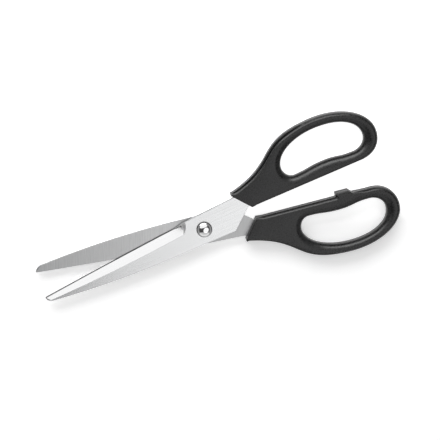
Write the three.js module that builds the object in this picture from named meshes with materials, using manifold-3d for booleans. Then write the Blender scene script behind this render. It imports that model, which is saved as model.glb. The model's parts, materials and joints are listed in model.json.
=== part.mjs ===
// A pair of household scissors, partly open and lying flat.
// Two stamped blades turn on a rivet, and each carries a moulded loop handle on its tang.
// The rear half is the front half turned over about the long axis, plus a closing stop.
// Units are millimetres. Each half is drawn closed, with the pivot at the origin,
// the tips along -X, the handles along +X and z = 0 midway between the blades.
import * as THREE from "three";
import { mergeVertices } from "three/addons/utils/BufferGeometryUtils.js";
import Module from "manifold-3d";

// Overall sizes.
const BLADE_REACH = 99.5; // pivot to tip
const HANDLE_REACH = 111.7; // pivot to the far end of a loop
const REST_OPENING = 8.7; // degrees between the halves, from closed

// Blade.
const BLADE_THICKNESS = 2.0;
const EDGE_TIP_SETBACK = 0.7; // the cutting edge ends this far behind the nose
const EDGE_BOW = 0.2; // the cutting edge swells past its chord
const HEEL_REACH = 15.0; // pivot to the inner end of the cutting edge
const HEEL_HEIGHT = 7.3; // axis to the cutting edge at the heel
const RICASSO_REACH = 10.6; // pivot to where the unground blade starts
const RICASSO_HEIGHT = 8.45;
const SPINE_DEPTH = 8.1; // axis to the back of the blade at the pivot
const SPINE_BOW = 1.5; // how far the back is drawn out between pivot and nose
const NOSE_HEIGHT = 3.4; // width of the rounded tip
const NOSE_LENGTH = 2.6;
const NOSE_BULGE = 1.0;
const SHANK_CORNER = 16.2; // pivot to the corner where the shank's back edge starts

// Ground bevel on the outer face.
const EDGE_LAND = 0.35; // metal left at the cutting edge
const BEVEL_HEEL_WIDTH = 5.5;
const BEVEL_WIDTH = 5.2; // half way along the edge
const BEVEL_TIP_WIDTH = 2.6;
const BEVEL_OVERRUN = 3.4; // how far the bevel runs on past the heel
const BEVEL_RUNOUT = 3.0; // length of its end, where it climbs to the face
const BEVEL_STEPS = 18;
const CUT_PAST = 3.0; // how far a cutter reaches beyond what it cuts
const CUT_LIFT = 0.5; // how far it clears the face where it climbs out

// Tang inside the handle.
const TANG_TOP_INSET = 2.6; // below the handle's front corner
const SHANK_TOP_SETBACK = 1.6; // the shank's back edge meets the handle's lower corner
const SHANK_TOP_HEIGHT = 1.0;
const TANG_LENGTH = 25.0; // handle's front corner to the end of the tang
const TANG_WIDTH = 7.6;
const TANG_RISE = 2.8; // the tang climbs by this much towards the loop
const TANG_HOLE_DIAMETER = 4.2;
const TANG_HOLE_PITCH = 8.5;
const TANG_CLEARANCE = 0.3; // between the steel and the moulding

// Pivot.
const RIVET_DIAMETER = 5.0;
const RIVET_HEAD_DIAMETER = 9.0;
const RIVET_HEAD_HEIGHT = 2.7;
const RIVET_HEAD_RIM = 0.5; // straight rim below the dome
const RIVET_TAIL = 0.9; // shank past the spring washer, inside the cap
const CAP_DIAMETER = 7.6;
const CAP_HEIGHT = 1.5;
const SPRING_WASHER_DIAMETER = 9.4;
const SPRING_WASHER_THICKNESS = 0.4;
const SPRING_WASHER_DISH = 0.4;
const FRICTION_WASHER_DIAMETER = 13.0;
const FRICTION_WASHER_THICKNESS = 0.3;
const RUNNING_CLEARANCE = 0.1; // round the rivet's shank
const STACK_CLEARANCE = 0.05; // between the faces stacked on the rivet

// Handle.
const HANDLE_THICKNESS = 10.0;
const HANDLE_ROUNDING = 3.0; // how far the edges are rounded, down the side
const HANDLE_ROUNDING_WIDTH = 2.0; // and across the face
const HANDLE_GAP = 2.2; // between the handles when closed
const HANDLE_FRONT = 20.8; // pivot to the handle's front corner
const HANDLE_FRONT_HEIGHT = 12.7;
const HANDLE_FRONT_SLANT = 9.2; // the front end slopes back by this much
const LOOP_LENGTH = 50.0; // the finger hole
const LOOP_WIDTH = 21.4;
const LOOP_END_HEIGHT = 7.4; // the hole's ends lie this far above its floor
const LOOP_FRONT_ROUND = 5.7;
const LOOP_REAR_ROUND = 8.3;
const LOOP_FRONT_LIFT = 0.9; // the floor's front end above its rear end
const PALM_SWELL = 2.0; // the floor swells up under the fingers
const PALM_PLACE = 22.7; // hole's front end to the top of the swell
const CROWN_PLACE = 25.2; // hole's front end to its highest point
const INNER_BAR = 6.0; // bar between the hole and the other handle
const REAR_BAR = 7.9;
const CROWN_BAR = 5.8;
const REAR_CORNER = 14.2; // length of the rounded rear corner
const SWEEP_CROWN = 35.0; // tangent lengths of the sweep from crown to front
const SWEEP_FRONT = 34.0;
const SWEEP_SLOPE = 0.19;

// Closing stop on the thumb handle.
const STOP_PLACE = 77.0; // pivot to its front face
const STOP_TOP_LENGTH = 8.0;
const STOP_RAMP = 2.0;
const STOP_THICKNESS = 9.0;
const STOP_CLEARANCE = 0.1; // left to the other handle when closed
const STOP_ROOT = 1.5; // how far it reaches into the bar

const CURVE_POINTS = 10;
const ROUND_SIDES = 48;
const ELLIPSE = 0.5523; // tangent length that makes a quarter ellipse
const FULL = 0.6; // and one that is a little squarer

// Values that follow from those above.
const bladeGap = FRICTION_WASHER_THICKNESS + 2 * STACK_CLEARANCE;
const bladeInner = bladeGap / 2;
const bladeOuter = bladeInner + BLADE_THICKNESS;
const halfHandle = HANDLE_THICKNESS / 2;
const handleInner = HANDLE_GAP / 2;
const holeRear = HANDLE_REACH - REAR_BAR;
const holeFront = holeRear - LOOP_LENGTH;
const holeFloor = handleInner + INNER_BAR;
const holeCrown = holeFloor + LOOP_WIDTH;
const crownX = holeFront + CROWN_PLACE;
const pivotHole = RIVET_DIAMETER / 2 + RUNNING_CLEARANCE;
const frontBottomX = HANDLE_FRONT + HANDLE_FRONT_SLANT;

const wasm = await Module();
wasm.setup();

const point = (x, y) => new THREE.Vector2(x, y);

// Solids.

// A closed geometry as a solid that can be joined and cut.
function solid(geometry) {
  const bare = geometry.clone();
  bare.deleteAttribute("normal");
  bare.deleteAttribute("uv");
  const merged = mergeVertices(bare, 1e-4);
  const corners = merged.index.array;
  const kept = [];
  for (let i = 0; i < corners.length; i += 3) {
    const [a, b, c] = corners.subarray(i, i + 3);
    if (a !== b && b !== c && c !== a) kept.push(a, b, c);
  }
  const mesh = new wasm.Mesh({
    numProp: 3,
    vertProperties: merged.attributes.position.array,
    triVerts: new Uint32Array(kept),
  });
  return new wasm.Manifold(mesh);
}

function geometryOf(made) {
  const mesh = made.getMesh();
  const geometry = new THREE.BufferGeometry();
  geometry.setAttribute("position", new THREE.BufferAttribute(mesh.vertProperties, 3));
  geometry.setIndex(new THREE.BufferAttribute(mesh.triVerts, 1));
  geometry.computeVertexNormals();
  return geometry;
}

// A flat outline as a plate from z to z + thickness, grown all round by grow.
function plate(shape, z, thickness, grow = 0) {
  const geometry = new THREE.ExtrudeGeometry(shape, {
    depth: thickness,
    curveSegments: CURVE_POINTS,
    bevelEnabled: grow > 0,
    bevelThickness: grow,
    bevelSize: 0,
    bevelOffset: grow,
    bevelSegments: 1,
  });
  return geometry.translate(0, 0, z);
}

// A round hole in an outline.
function roundHole(x, y, radius) {
  const points = [];
  for (let i = 0; i < ROUND_SIDES; i++) {
    const angle = (i / ROUND_SIDES) * 2 * Math.PI;
    points.push(point(x + radius * Math.cos(angle), y + radius * Math.sin(angle)));
  }
  return new THREE.Path(points);
}

// A ring or disc from a profile of [radius, z] points, turned about z.
function turned(profile) {
  const points = profile.map(([r, z]) => point(r, z));
  return new THREE.LatheGeometry(points, ROUND_SIDES).rotateX(Math.PI / 2);
}

// A solid through a row of sections with the same number of corners.
function loft(sections) {
  const corners = sections[0].length;
  const positions = sections.flat(2);
  const faces = [];
  for (let i = 0; i + 1 < sections.length; i++) {
    for (let j = 0; j < corners; j++) {
      const a = i * corners + j;
      const b = i * corners + ((j + 1) % corners);
      faces.push(a, b, b + corners, a, b + corners, a + corners);
    }
  }
  const last = (sections.length - 1) * corners;
  for (let j = 1; j + 1 < corners; j++) {
    faces.push(0, j + 1, j);
    faces.push(last, last + j, last + j + 1);
  }
  const geometry = new THREE.BufferGeometry();
  geometry.setAttribute("position", new THREE.Float32BufferAttribute(positions, 3));
  geometry.setIndex(faces);
  return geometry;
}

// Blade.

const edgeTip = point(EDGE_TIP_SETBACK - BLADE_REACH, 0);
const edgeHeel = point(-HEEL_REACH, HEEL_HEIGHT);
const edgeMiddle = edgeTip.clone().lerp(edgeHeel, 0.5).add(point(0, 2 * EDGE_BOW));
const cuttingEdge = new THREE.QuadraticBezierCurve(edgeHeel, edgeMiddle, edgeTip);

// The tang's outline starts on the handle's sloping front end.
const tangTop = point(HANDLE_FRONT, HANDLE_FRONT_HEIGHT - TANG_TOP_INSET);
const shankTop = point(
  frontBottomX - SHANK_TOP_SETBACK, handleInner + SHANK_TOP_HEIGHT);
const tangEndX = HANDLE_FRONT + TANG_LENGTH;
const tangEndMiddle = (tangTop.y + shankTop.y) / 2 + TANG_RISE;

function bladeShape() {
  const shape = new THREE.Shape();
  const noseSpine = point(NOSE_LENGTH - BLADE_REACH, -NOSE_HEIGHT);
  const half = TANG_WIDTH / 2;
  shape.moveTo(edgeTip.x, edgeTip.y);
  shape.quadraticCurveTo(edgeMiddle.x, edgeMiddle.y, edgeHeel.x, edgeHeel.y);
  shape.lineTo(-RICASSO_REACH, RICASSO_HEIGHT);
  shape.lineTo(tangTop.x, tangTop.y);
  shape.lineTo(tangEndX - half, tangEndMiddle + half);
  shape.absarc(tangEndX - half, tangEndMiddle, half, Math.PI / 2, -Math.PI / 2, true);
  shape.lineTo(shankTop.x, shankTop.y);
  shape.lineTo(SHANK_CORNER, -SPINE_DEPTH);
  shape.lineTo(0, -SPINE_DEPTH);
  shape.quadraticCurveTo(
    -BLADE_REACH / 2, -SPINE_DEPTH - SPINE_BOW, noseSpine.x, noseSpine.y);
  shape.quadraticCurveTo(
    -BLADE_REACH - NOSE_BULGE, -NOSE_HEIGHT * 0.75, edgeTip.x, edgeTip.y);
  shape.holes.push(roundHole(0, 0, pivotHole));
  for (const step of [0, 1]) {
    const x = tangEndX - half - step * TANG_HOLE_PITCH;
    const y = tangEndMiddle - step * (TANG_RISE / 2);
    shape.holes.push(roundHole(x, y, TANG_HOLE_DIAMETER / 2));
  }
  return shape;
}

// Metal ground away from the outer face, from the ridge down to the cutting edge.
// At the heel the cutter climbs out of the metal, and past the tip it runs on.
function bevelCutter() {
  const sections = [];
  for (let i = -1; i <= BEVEL_STEPS + 1; i++) {
    const along = Math.min(Math.max(i / BEVEL_STEPS, 0), 1);
    const edge = cuttingEdge.getPoint(along);
    const tangent = cuttingEdge.getTangent(along);
    const outward = point(tangent.y, -tangent.x);
    const ends = BEVEL_HEEL_WIDTH + (BEVEL_TIP_WIDTH - BEVEL_HEEL_WIDTH) * along;
    const swell = BEVEL_WIDTH - (BEVEL_HEEL_WIDTH + BEVEL_TIP_WIDTH) / 2;
    const width = ends + swell * 4 * along * (1 - along);
    const slope = i < 0 ? 0 : (BLADE_THICKNESS - EDGE_LAND) / width;
    const lift = i < 0 ? CUT_LIFT : 0;
    const before = i > 0 ? 0 : -BEVEL_OVERRUN + i * BEVEL_RUNOUT;
    const past = Math.max(i - BEVEL_STEPS, 0) * CUT_PAST;
    const shifted = edge.clone().addScaledVector(tangent, before + past);
    const inside = shifted.clone().addScaledVector(outward, -width - CUT_PAST);
    const beyond = shifted.clone().addScaledVector(outward, CUT_PAST);
    sections.push([
      [inside.x, inside.y, bladeOuter + slope * CUT_PAST + lift],
      [beyond.x, beyond.y, bladeOuter + CUT_PAST],
      [beyond.x, beyond.y, bladeOuter - slope * (width + CUT_PAST) + lift],
    ]);
  }
  return loft(sections);
}

function bladeGeometry() {
  const blank = solid(plate(bladeShape(), bladeInner, BLADE_THICKNESS));
  return geometryOf(blank.subtract(solid(bevelCutter())));
}

// Handle.

// A quarter turn from a point to a corner's far side, leaving along x or along y.
function quarter(path, from, to, alongX, fullness) {
  const dx = (to.x - from.x) * fullness;
  const dy = (to.y - from.y) * fullness;
  if (alongX) path.bezierCurveTo(from.x + dx, from.y, to.x, to.y - dy, to.x, to.y);
  else path.bezierCurveTo(from.x, from.y + dy, to.x - dx, to.y, to.x, to.y);
}

// A gentle step from one point to another, level at both ends.
function easing(path, from, to) {
  const middle = (from.x + to.x) / 2;
  path.bezierCurveTo(middle, from.y, middle, to.y, to.x, to.y);
}

function fingerHole() {
  const front = point(holeFront, holeFloor + LOOP_END_HEIGHT);
  const floorFront = point(holeFront + LOOP_FRONT_ROUND, holeFloor + LOOP_FRONT_LIFT);
  const palm = point(holeFront + PALM_PLACE, holeFloor + PALM_SWELL);
  const floorRear = point(holeRear - LOOP_REAR_ROUND, holeFloor);
  const rear = point(holeRear, holeFloor + LOOP_END_HEIGHT);
  const crown = point(crownX, holeCrown);
  const path = new THREE.Path();
  path.moveTo(front.x, front.y);
  quarter(path, front, floorFront, false, ELLIPSE);
  easing(path, floorFront, palm);
  easing(path, palm, floorRear);
  quarter(path, floorRear, rear, true, ELLIPSE);
  quarter(path, rear, crown, false, FULL);
  quarter(path, crown, front, true, ELLIPSE);
  return path;
}

function handleShape() {
  const crown = point(crownX, holeCrown + CROWN_BAR);
  const rear = point(HANDLE_REACH, holeFloor + LOOP_END_HEIGHT);
  const corner = point(HANDLE_REACH - REAR_CORNER, handleInner);
  const shape = new THREE.Shape();
  shape.moveTo(frontBottomX, handleInner);
  shape.lineTo(corner.x, corner.y);
  quarter(shape, corner, rear, true, FULL);
  quarter(shape, rear, crown, false, ELLIPSE);
  shape.bezierCurveTo(
    crown.x - SWEEP_CROWN, crown.y,
    HANDLE_FRONT + SWEEP_FRONT, HANDLE_FRONT_HEIGHT + SWEEP_FRONT * SWEEP_SLOPE,
    HANDLE_FRONT, HANDLE_FRONT_HEIGHT);
  shape.closePath();
  shape.holes.push(fingerHole());
  return shape;
}

function handleBlank() {
  const geometry = new THREE.ExtrudeGeometry(handleShape(), {
    depth: HANDLE_THICKNESS - 2 * HANDLE_ROUNDING,
    curveSegments: CURVE_POINTS,
    bevelThickness: HANDLE_ROUNDING,
    bevelSize: HANDLE_ROUNDING_WIDTH,
    bevelOffset: -HANDLE_ROUNDING_WIDTH,
    bevelSegments: 3,
  });
  return solid(geometry.translate(0, 0, HANDLE_ROUNDING - halfHandle));
}

// A flat-topped lug on the bar's inner edge, square in front and ramped behind.
function closingStop() {
  const top = STOP_CLEARANCE - handleInner;
  const root = handleInner + STOP_ROOT;
  const shape = new THREE.Shape();
  shape.moveTo(STOP_PLACE, root);
  shape.lineTo(STOP_PLACE, top);
  shape.lineTo(STOP_PLACE + STOP_TOP_LENGTH, top);
  shape.lineTo(STOP_PLACE + STOP_TOP_LENGTH + STOP_RAMP, root - STOP_ROOT);
  shape.lineTo(STOP_PLACE + STOP_TOP_LENGTH + STOP_RAMP, root);
  return solid(plate(shape, -STOP_THICKNESS / 2, STOP_THICKNESS));
}

function handleGeometry(withStop) {
  const pocket = solid(plate(bladeShape(), bladeInner, BLADE_THICKNESS, TANG_CLEARANCE));
  const blank = withStop ? handleBlank().add(closingStop()) : handleBlank();
  return geometryOf(blank.subtract(pocket));
}

// Pivot.

const shankRadius = RIVET_DIAMETER / 2;
const boreRadius = shankRadius + RUNNING_CLEARANCE;
const headSeat = bladeOuter + STACK_CLEARANCE;
const springTop = -bladeOuter - STACK_CLEARANCE;
const springHeight = SPRING_WASHER_THICKNESS + SPRING_WASHER_DISH;
const capTop = springTop - springHeight - STACK_CLEARANCE;
const shankEnd = capTop - RIVET_TAIL;

// Points of a dome from its rim up to the axis.
function dome(radius, rim, top) {
  const points = [];
  for (let i = 0; i <= CURVE_POINTS; i++) {
    const angle = (i / CURVE_POINTS) * (Math.PI / 2);
    points.push([radius * Math.cos(angle), rim + (top - rim) * Math.sin(angle)]);
  }
  points[CURVE_POINTS][0] = 0;
  return points;
}

function rivetGeometry() {
  const rim = headSeat + RIVET_HEAD_RIM;
  return turned([
    [0, shankEnd],
    [shankRadius, shankEnd],
    [shankRadius, headSeat],
    [RIVET_HEAD_DIAMETER / 2, headSeat],
    ...dome(RIVET_HEAD_DIAMETER / 2, rim, headSeat + RIVET_HEAD_HEIGHT),
  ]);
}

function capGeometry() {
  const radius = CAP_DIAMETER / 2;
  const bottom = capTop - CAP_HEIGHT;
  const bulge = dome(radius, capTop - RIVET_HEAD_RIM, bottom).reverse();
  return turned([
    ...bulge,
    [radius, capTop],
    [boreRadius, capTop],
    [boreRadius, shankEnd - STACK_CLEARANCE],
    [0, shankEnd - STACK_CLEARANCE],
  ]);
}

function springWasherGeometry() {
  const outer = SPRING_WASHER_DIAMETER / 2;
  const bottom = springTop - springHeight;
  return turned([
    [boreRadius, bottom],
    [outer, bottom + SPRING_WASHER_DISH],
    [outer, springTop],
    [boreRadius, springTop - SPRING_WASHER_DISH],
    [boreRadius, bottom],
  ]);
}

function frictionWasherGeometry() {
  const outer = FRICTION_WASHER_DIAMETER / 2;
  const half = FRICTION_WASHER_THICKNESS / 2;
  return turned([
    [boreRadius, -half],
    [outer, -half],
    [outer, half],
    [boreRadius, half],
    [boreRadius, -half],
  ]);
}

// Materials.

const blackPlastic = new THREE.MeshStandardMaterial({ color: 0x2b2b2c, roughness: 0.55 });
const satinSteel = new THREE.MeshStandardMaterial({
  color: 0xd6d7d8, roughness: 0.32, metalness: 1,
});
const polishedSteel = new THREE.MeshStandardMaterial({
  color: 0xe4e5e6, roughness: 0.06, metalness: 1,
});
const springSteel = new THREE.MeshStandardMaterial({
  color: 0x8f9092, roughness: 0.4, metalness: 1,
});
const nylon = new THREE.MeshStandardMaterial({ color: 0xe8e6df, roughness: 0.5 });

// Assembly.

function piece(name, geometry, material) {
  const mesh = new THREE.Mesh(geometry, material);
  mesh.name = name;
  return mesh;
}

const halfTurn = THREE.MathUtils.degToRad(REST_OPENING / 2);

const frontHalf = new THREE.Group();
frontHalf.add(piece("front_blade", bladeGeometry(), satinSteel));
frontHalf.add(piece("finger_handle", handleGeometry(false), blackPlastic));
frontHalf.add(piece("pivot_rivet", rivetGeometry(), polishedSteel));
frontHalf.add(piece("rivet_cap", capGeometry(), polishedSteel));
frontHalf.add(piece("spring_washer", springWasherGeometry(), springSteel));
frontHalf.add(piece("friction_washer", frictionWasherGeometry(), nylon));
frontHalf.rotation.z = halfTurn;

const turnedOver = new THREE.Group();
turnedOver.add(piece("rear_blade", bladeGeometry(), satinSteel));
turnedOver.add(piece("thumb_handle", handleGeometry(true), blackPlastic));
turnedOver.rotation.x = Math.PI;

const rearHalf = new THREE.Group();
rearHalf.add(turnedOver);
rearHalf.rotation.z = -halfTurn;

const scissors = new THREE.Group();
const centred = new THREE.Group();
centred.add(frontHalf, rearHalf);
scissors.add(centred);

// The origin is under the middle of the whole, on the surface that the handles lie on.
scissors.updateMatrixWorld(true);
const box = new THREE.Box3().setFromObject(scissors, true);
const middle = box.getCenter(new THREE.Vector3());
centred.position.set(-middle.x, -middle.y, -box.min.z);

export default scissors;
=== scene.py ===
import json
import math
from contextlib import contextmanager

import bmesh
import bpy
import numpy as np
from bpy.props import FloatProperty, FloatVectorProperty, IntProperty, PointerProperty
from mathutils import Matrix, Vector
from mathutils.geometry import delaunay_2d_cdt

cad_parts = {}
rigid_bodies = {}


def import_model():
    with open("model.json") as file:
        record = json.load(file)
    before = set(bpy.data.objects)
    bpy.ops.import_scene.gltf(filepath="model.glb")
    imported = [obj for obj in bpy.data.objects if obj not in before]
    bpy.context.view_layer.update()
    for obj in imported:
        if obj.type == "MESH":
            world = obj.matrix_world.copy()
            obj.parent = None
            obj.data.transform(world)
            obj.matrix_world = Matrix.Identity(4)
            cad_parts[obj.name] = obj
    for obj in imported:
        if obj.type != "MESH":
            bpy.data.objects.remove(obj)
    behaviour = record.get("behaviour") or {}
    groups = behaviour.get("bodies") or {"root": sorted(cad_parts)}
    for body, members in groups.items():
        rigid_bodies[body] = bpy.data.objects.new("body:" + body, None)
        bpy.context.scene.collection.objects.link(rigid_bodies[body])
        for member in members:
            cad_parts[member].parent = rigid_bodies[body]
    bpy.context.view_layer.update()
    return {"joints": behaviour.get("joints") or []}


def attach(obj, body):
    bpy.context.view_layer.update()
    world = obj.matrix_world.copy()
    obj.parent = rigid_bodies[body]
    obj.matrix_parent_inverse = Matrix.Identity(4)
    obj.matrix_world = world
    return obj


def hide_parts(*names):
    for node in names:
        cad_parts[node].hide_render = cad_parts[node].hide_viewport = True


bl_info = {
    "name": "Household scissors",
    "version": (1, 0, 0),
    "blender": (4, 5, 0),
    "location": "View3D > Sidebar > Scissors",
    "description": "Blades, loop handles and pivot of a pair of scissors, on their CAD frame",
    "category": "Object",
}

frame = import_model()
HINGE = frame["joints"][0]
PIVOT = Vector(HINGE["pos_m"])
HALF_OPENING = -math.radians(HINGE["range_deg"][0]) / 2
UP = Vector((0, 0, 1))
MILLIMETRES = 1000  # in a metre

# Each half is drawn closed, in millimetres, with the pivot at the origin, the tips
# along -X and z = 0 midway between the blades. The rear half is the front one turned over.
AT_PIVOT = Matrix.Translation(PIVOT)
IN_METRES = Matrix.Scale(1 / MILLIMETRES, 4)
TURNED_OVER = Matrix.Rotation(math.pi, 4, "X")
FRONT = AT_PIVOT @ Matrix.Rotation(HALF_OPENING, 4, "Z") @ IN_METRES
REAR = AT_PIVOT @ Matrix.Rotation(-HALF_OPENING, 4, "Z") @ TURNED_OVER @ IN_METRES

# Body, place of its drawing, and the turn that lays its grinding marks along the blade
HALVES = (("front_half", FRONT, -HALF_OPENING), ("rear_half", REAR, HALF_OPENING))


def length(name, description, default):
    return FloatProperty(
        name=name, description=description, default=default, min=0, unit="LENGTH", precision=5
    )


def tint(name, description, default):
    return FloatVectorProperty(
        name=name, description=description, default=default, subtype="COLOR", size=3, min=0, max=1
    )


def angle(name, description, degrees):
    return FloatProperty(name=name, description=description, default=math.radians(degrees), subtype="ANGLE")


def glow(name, description, default):
    return FloatProperty(name=name, description=description, default=default, min=0)


class BladeSettings(bpy.types.PropertyGroup):
    """Sizes and finish of the two blades"""

    reach: length("Reach", "Pivot to tip", 0.0995)
    thickness: length("Thickness", "Of the steel", 0.002)
    gap: length("Gap", "Between the two blades", 0.0004)
    edge_land: length("Edge land", "Steel left where the bevel meets the honed edge", 0.00042)
    honed: length("Honed edge", "Width of the honed facet along the cutting edge", 0.00055)
    honed_land: length("Honed land", "Steel left at the honed edge itself", 0.00006)
    edge_setback: length("Edge setback", "Nose to the end of the cutting edge", 0.00035)
    edge_bow: length("Edge bow", "Swell of the cutting edge past its chord", 0.0002)
    heel_reach: length("Heel reach", "Pivot to the heel of the cutting edge", 0.0150)
    heel_height: length("Heel height", "Axis to the cutting edge at the heel", 0.0073)
    ricasso_reach: length("Ricasso reach", "Pivot to the start of the unground steel", 0.0106)
    ricasso_height: length("Ricasso height", "Axis to the unground edge", 0.00845)
    spine_depth: length("Spine depth", "Axis to the back of the blade at the pivot", 0.0081)
    spine_bow: length("Spine bow", "How far the back is drawn out", 0.0015)
    nose_height: length("Nose height", "Width of the rounded tip", 0.0034)
    nose_length: length("Nose length", "Length of the rounded tip", 0.0034)
    nose_turn: length("Nose turn", "How far the rounding turns in behind the tip", 0.0001)
    shank_corner: length("Shank corner", "Pivot to the corner of the shank's back edge", 0.0162)
    tang_length: length("Tang length", "Part of the blade inside the handle", 0.025)
    tang_width: length("Tang width", "Width at the tang's end", 0.0076)
    tang_rise: length("Tang rise", "How far the tang climbs", 0.0028)
    bevel_heel: length("Bevel at heel", "Width of the ground bevel at the heel", 0.0055)
    bevel_middle: length("Bevel in the middle", "Width of the ground bevel half way", 0.0052)
    bevel_tip: length("Bevel at tip", "Width of the ground bevel at the tip", 0.0026)
    overrun: length("Overrun", "How far the bevel runs on past the heel", 0.00635)
    runout: length("Run-out", "Length over which the bevel rises to the flat", 0.0042)
    runout_radius: length("Run-out radius", "Of the bevel's rounded end", 0.00435)
    eased: length("Eased edge", "Chamfer on the stamped edges", 0.00012)
    nose_eased: length("Eased nose", "Chamfer round the tip", 0.0008)
    across: angle("Across", "Way the inner face is ground", 70.9)
    flat_colour: tint("Flat", "Outer face, ground lengthwise", (0.80, 0.805, 0.81))
    bevel_colour: tint("Bevel", "Polished bevel", (0.88, 0.88, 0.885))
    inner_colour: tint("Inner face", "Ground across", (0.69, 0.693, 0.697))
    edge_colour: tint("Edges", "Stamped edges", (0.55, 0.555, 0.56))
    # The honed facet's near-black is painted shade along the cutting edge
    honed_shade_colour: tint("Honed facet", "Along the cutting edge", (0.12, 0.12, 0.122))


class HandleSettings(bpy.types.PropertyGroup):
    """Sizes and finish of the two handles"""

    thickness: length("Thickness", "Of a handle", 0.010)
    reach: length("Reach", "Pivot to the far end of a loop", 0.1117)
    gap: length("Gap", "Between the handles when closed", 0.0022)
    front: length("Front", "Pivot to the front corner", 0.0208)
    front_height: length("Front height", "Axis to the front corner", 0.0127)
    front_slant: length("Front slant", "How far the front end slopes back", 0.0092)
    corner: length("Front corners", "Radius of the front corners", 0.0007)
    loop_length: length("Loop length", "Inside", 0.05)
    loop_width: length("Loop width", "Inside", 0.0214)
    loop_end: length("Loop end height", "Loop's ends above its floor", 0.0074)
    front_round: length("Front rounding", "Of the loop's floor in front", 0.0057)
    rear_round: length("Rear rounding", "Of the loop's floor at the rear", 0.0083)
    front_lift: length("Front lift", "Of the loop's floor in front", 0.0009)
    swell: length("Swell", "Of the loop's floor under the fingers", 0.002)
    swell_place: length("Swell place", "Loop's front end to the swell", 0.0227)
    crown_place: length("Crown place", "Loop's front end to its highest point", 0.0252)
    inner_bar: length("Inner bar", "Between loop and other handle", 0.006)
    rear_bar: length("Rear bar", "At the far end", 0.0079)
    crown_bar: length("Crown bar", "Along the outside", 0.0058)
    rear_corner: length("Rear corner", "Length of the rounded rear corner", 0.0142)
    stop_place: length("Stop place", "Pivot to the closing stop", 0.077)
    stop_length: length("Stop length", "Flat top of the closing stop", 0.008)
    stop_ramp: length("Stop ramp", "Slope behind the closing stop", 0.002)
    stop_clearance: length("Stop clearance", "Left when closed", 0.0001)
    sweep_crown: length("Sweep at crown", "Tangent of the back's sweep at the crown", 0.035)
    sweep_front: length("Sweep in front", "Tangent of the back's sweep in front", 0.034)
    sweep_rise: length("Sweep rise", "Climb of that tangent", 0.00646)
    ledge: length("Ledge", "Width of the ledge along the inner bar", 0.0006)
    flank_ledge: length("Flank ledge", "Width of the ledge along the back", 0.0015)
    ledge_rise: length("Ledge rise", "Top of the ledge over the parting line", 0.0026)
    ledge_round: length("Ledge rounding", "Of the ledge's edge", 0.00065)
    draft: length("Draft", "Lean of the upright sides", 0.00015)
    edge_round: length("Edge rounding", "Of the face's edge, across", 0.0008)
    edge_drop: length("Edge drop", "Of the face's edge, down", 0.0005)
    stop_round: length("Stop rounding", "Of the edges of stop and front end", 0.00028)
    grip_round: length("Grip rounding", "Round the outside of the loop", 0.0021)
    grip_drop: length("Grip drop", "Depth of that rounding", 0.0030)
    hole_round: length("Hole rounding", "Round the inside of the loop", 0.0043)
    hole_rear_round: length("Rear hole rounding", "More of it at the loop's far end", 0.0013)
    hole_drop: length("Hole drop", "Depth of that rounding", 0.0038)
    seam: length("Seam", "Depth of the mould's parting line", 0.00005)
    fit: length("Tang fit", "Between plastic and tang", 0.00006)
    plastic_colour: tint("Plastic", "Moulded black plastic", (0.0062, 0.0062, 0.0064))


class PivotSettings(bpy.types.PropertyGroup):
    """Sizes and finish of the rivet, its cap and the washers"""

    shank: length("Shank", "Diameter of the rivet's shank", 0.005)
    head: length("Head", "Diameter of the rivet's domed head", 0.009)
    head_height: length("Head height", "Of the dome over the blade", 0.0027)
    head_rim: length("Head rim", "Upright rim below the dome", 0.0005)
    tail: length("Tail", "Shank inside the cap", 0.0009)
    cap: length("Cap", "Diameter of the rear cap", 0.0076)
    cap_height: length("Cap height", "Of the rear cap", 0.0015)
    spring: length("Spring washer", "Diameter", 0.0094)
    spring_thickness: length("Spring thickness", "Of the spring washer", 0.0004)
    spring_dish: length("Spring dish", "Of the spring washer", 0.0004)
    friction: length("Friction washer", "Diameter", 0.013)
    friction_thickness: length("Friction thickness", "Of the friction washer", 0.0003)
    running: length("Running clearance", "Round the shank", 0.0001)
    stack: length("Stack clearance", "Between stacked faces", 0.00005)
    turns: IntProperty(name="Turns", description="Steps round a turned piece", default=128, min=24)
    chrome_colour: tint("Chrome", "Rivet and cap", (0.86, 0.86, 0.865))
    spring_colour: tint("Spring steel", "Spring washer", (0.34, 0.34, 0.35))
    nylon_colour: tint("Nylon", "Friction washer", (0.80, 0.79, 0.75))


class StageSettings(bpy.types.PropertyGroup):
    """Camera, floor and light"""

    distance: length("Distance", "Camera to pivot", 0.8)
    pixel: length("Pixel", "Width of a picture point at the pivot", 0.000571)
    roll: angle("Roll", "Long axis in the picture", 19.1)
    tilt: angle("Tilt", "Camera off the vertical", 12.0)
    lean: angle("Lean", "Way the camera leans", 105.0)
    floor_colour: tint("Floor", "Pale floor", (0.95, 0.95, 0.95))
    glow_near: glow("Near glow", "White seen below the object", 0.34)
    glow_far: glow("Far glow", "White seen above the object", 0.85)
    backdrop_glow: glow("Backdrop", "Backdrop as the metal mirrors it", 0.35)
    sky_light: glow("Sky", "Light from above, beside the lamps", 0.07)


# How far the fine outlines stay inside the faceted ones, in millimetres
SKIN = 0.04

# The square picture's width and the pivot's place in it, in picture points
PICTURE = 440
PIVOT_IN_PICTURE = (204.2, 228.6)


class Millimetres:
    """A settings group with its lengths in millimetres"""

    def __init__(self, group):
        self.group = group

    def __getattr__(self, name):
        return MILLIMETRES * getattr(self.group, name)


# Flat outlines


def line(a, b, count):
    """Points of a straight line, without its end"""
    steps = np.arange(count)[:, None] / count
    return np.asarray(a, float) + steps * (np.asarray(b, float) - np.asarray(a, float))


def curve(count, *controls):
    """Points of a Bezier curve, without its end"""
    t = np.arange(count)[:, None] / count
    degree = len(controls) - 1
    return sum(
        math.comb(degree, k) * t**k * (1 - t) ** (degree - k) * np.asarray(p, float)
        for k, p in enumerate(controls)
    )


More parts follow.
